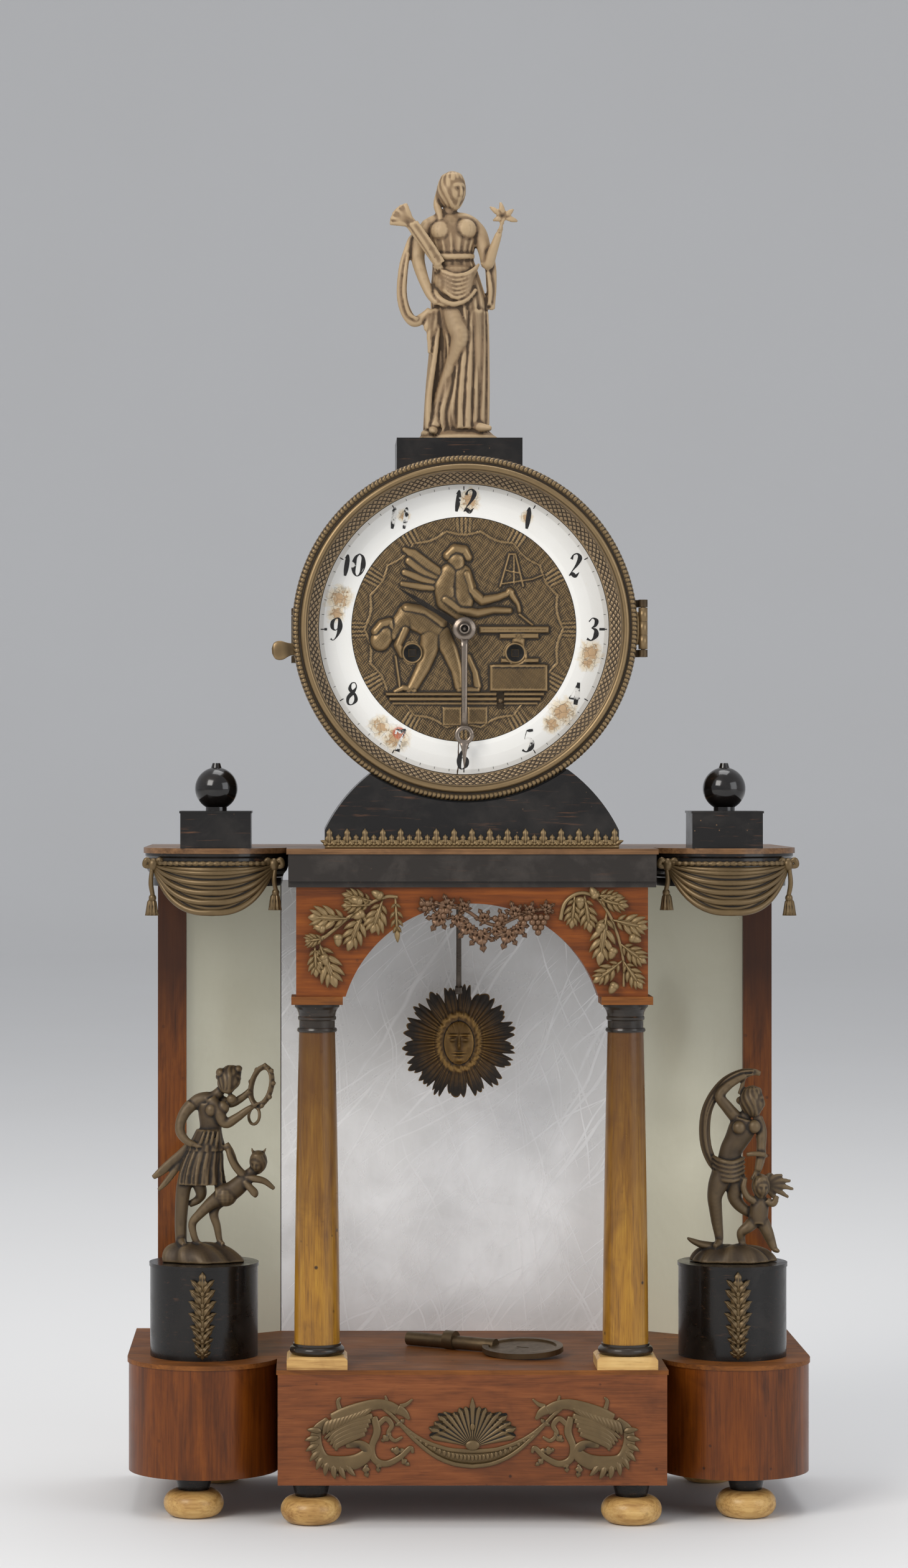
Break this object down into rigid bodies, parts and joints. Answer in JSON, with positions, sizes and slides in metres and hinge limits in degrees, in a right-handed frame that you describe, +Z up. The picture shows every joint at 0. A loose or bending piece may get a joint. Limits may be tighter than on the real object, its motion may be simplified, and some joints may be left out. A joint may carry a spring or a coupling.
{
  "type": "shelf clock",
  "caption": "Portal shelf clock: columns, arch and mirrored bays on a box base, round case with hinged bezel and statue on top, sun pendulum behind the arch",
  "frame": {"origin": "middle of the whole clock's footprint, on the plane that the feet stand on", "axes": "+X to the viewer's right, +Y to the back, +Z up; the dial faces -Y"},
  "size_m": [0.3034, 0.1404, 0.5996],
  "materials": {
    "cherry": "polished",
    "ebonised": "polished black",
    "amber_wood": "polished",
    "cream_wood": "polished",
    "mirror": "silvered glass",
    "gilt_brass": "worn gilt",
    "clock_brass": "brushed",
    "bronze": "dark patina",
    "enamel": "glazed",
    "glass": "clear",
    "steel": "polished"
  },
  "bodies": {
    "case": {"base_box": "cherry", "wing_base_l": "cherry", "wing_base_r": "cherry", "base_deck": "cherry", "column_abaci": "cherry", "arch_board": "cherry", "top_board": "cherry", "back_board": "cherry", "stiles": "cherry", "wing_backs": "cherry", "foot_necks": "ebonised", "column_rings": "ebonised", "column_capitals": "ebonised", "frieze": "ebonised", "canopy_l": "ebonised", "canopy_r": "ebonised", "pedestal_l": "ebonised", "pedestal_r": "ebonised", "finial_blocks": "ebonised", "finial_balls": "ebonised", "cradle": "ebonised", "statue_plinth": "ebonised", "column_shaft_l": "amber_wood", "column_shaft_r": "amber_wood", "feet": "cream_wood", "column_plinths": "cream_wood", "mirror_middle": "mirror", "mirror_l": "mirror", "mirror_r": "mirror", "pedestal_mounts": "gilt_brass", "swag_l": "gilt_brass", "swag_r": "gilt_brass", "gallery": "gilt_brass", "oak_sprays": "gilt_brass", "vine_garland": "gilt_brass", "griffin_mount": "gilt_brass", "statue": "gilt_brass", "drum": "gilt_brass", "sight_ring": "gilt_brass", "dial_relief": "gilt_brass", "movement_frame": "clock_brass", "strike_bell": "clock_brass", "figure_l": "bronze", "figure_r": "bronze", "enamel_ring": "enamel"},
    "bezel_body": {"bezel": "gilt_brass", "bezel_glass": "glass"},
    "door_body": {"rear_door": "gilt_brass"},
    "minute_body": {"minute_hand": "steel", "centre_wheel": "clock_brass"},
    "hour_body": {"hour_hand": "steel"},
    "going_barrel_body": {"going_barrel": "clock_brass"},
    "strike_barrel_body": {"strike_barrel": "clock_brass"},
    "third_body": {"third_wheel": "clock_brass"},
    "escape_body": {"escape_wheel": "clock_brass"},
    "anchor_body": {"anchor": "steel"},
    "pendulum_body": {"pendulum": "gilt_brass"},
    "hammer_body": {"strike_hammer": "steel"},
    "stop_body": {"stop_lever": "steel"},
    "key_body": {"winding_key": "steel"}
  },
  "joints": [
    {"name": "bezel_hinge", "type": "hinge", "parent": "case", "child": "bezel_body", "pos_m": [0.0748, -0.0578, 0.3908], "axis": [0, 0, 1], "range_deg": [0, 120]},
    {"name": "door_hinge", "type": "hinge", "parent": "case", "child": "door_body", "pos_m": [-0.0772, 0.0315, 0.3908], "axis": [0, 0, 1], "range_deg": [0, 110]},
    {"name": "minute_turn", "type": "hinge", "parent": "case", "child": "minute_body", "pos_m": [-0.003, -0.0548, 0.3908], "axis": [0, 1, 0], "continuous": true},
    {"name": "hour_turn", "type": "hinge", "parent": "case", "child": "hour_body", "pos_m": [-0.003, -0.0528, 0.3908], "axis": [0, 1, 0], "continuous": true},
    {"name": "going_barrel_turn", "type": "hinge", "parent": "case", "child": "going_barrel_body", "pos_m": [-0.0256, -0.0318, 0.3804], "axis": [0, 1, 0], "continuous": true},
    {"name": "strike_barrel_turn", "type": "hinge", "parent": "case", "child": "strike_barrel_body", "pos_m": [0.0196, -0.0178, 0.3804], "axis": [0, 1, 0], "continuous": true},
    {"name": "third_turn", "type": "hinge", "parent": "case", "child": "third_body", "pos_m": [-0.015, -0.0128, 0.40711], "axis": [0, 1, 0], "continuous": true},
    {"name": "escape_turn", "type": "hinge", "parent": "case", "child": "escape_body", "pos_m": [-0.003, -0.0038, 0.42053], "axis": [0, 1, 0], "continuous": true},
    {"name": "pendulum_swing", "type": "hinge", "parent": "case", "child": "pendulum_body", "pos_m": [-0.003, 0.0172, 0.43413], "axis": [0, 1, 0], "range_deg": [-4, 4]},
    {"name": "anchor_swing", "type": "hinge", "parent": "case", "child": "anchor_body", "pos_m": [-0.003, 0.0122, 0.43413], "axis": [0, 1, 0], "range_deg": [-4, 4]},
    {"name": "hammer_lift", "type": "hinge", "parent": "case", "child": "hammer_body", "pos_m": [0.0192, 0.0082, 0.395], "axis": [0, -1, 0], "range_deg": [-2, 14]},
    {"name": "stop_slide", "type": "slide", "parent": "case", "child": "stop_body", "axis": [0, 0, 1], "range_m": [-0.0018, 0.0018]},
    {"name": "key_lift", "type": "slide", "parent": "case", "child": "key_body", "axis": [0, 0, 1], "range_m": [0, 0.06]}
  ],
  "couplings": [
    {"joint": "hour_turn", "follows": "minute_turn", "ratio": 0.083333},
    {"joint": "going_barrel_turn", "follows": "minute_turn", "ratio": -0.14286},
    {"joint": "third_turn", "follows": "minute_turn", "ratio": -8},
    {"joint": "escape_turn", "follows": "minute_turn", "ratio": 56},
    {"joint": "anchor_swing", "follows": "pendulum_swing", "ratio": 1}
  ]
}
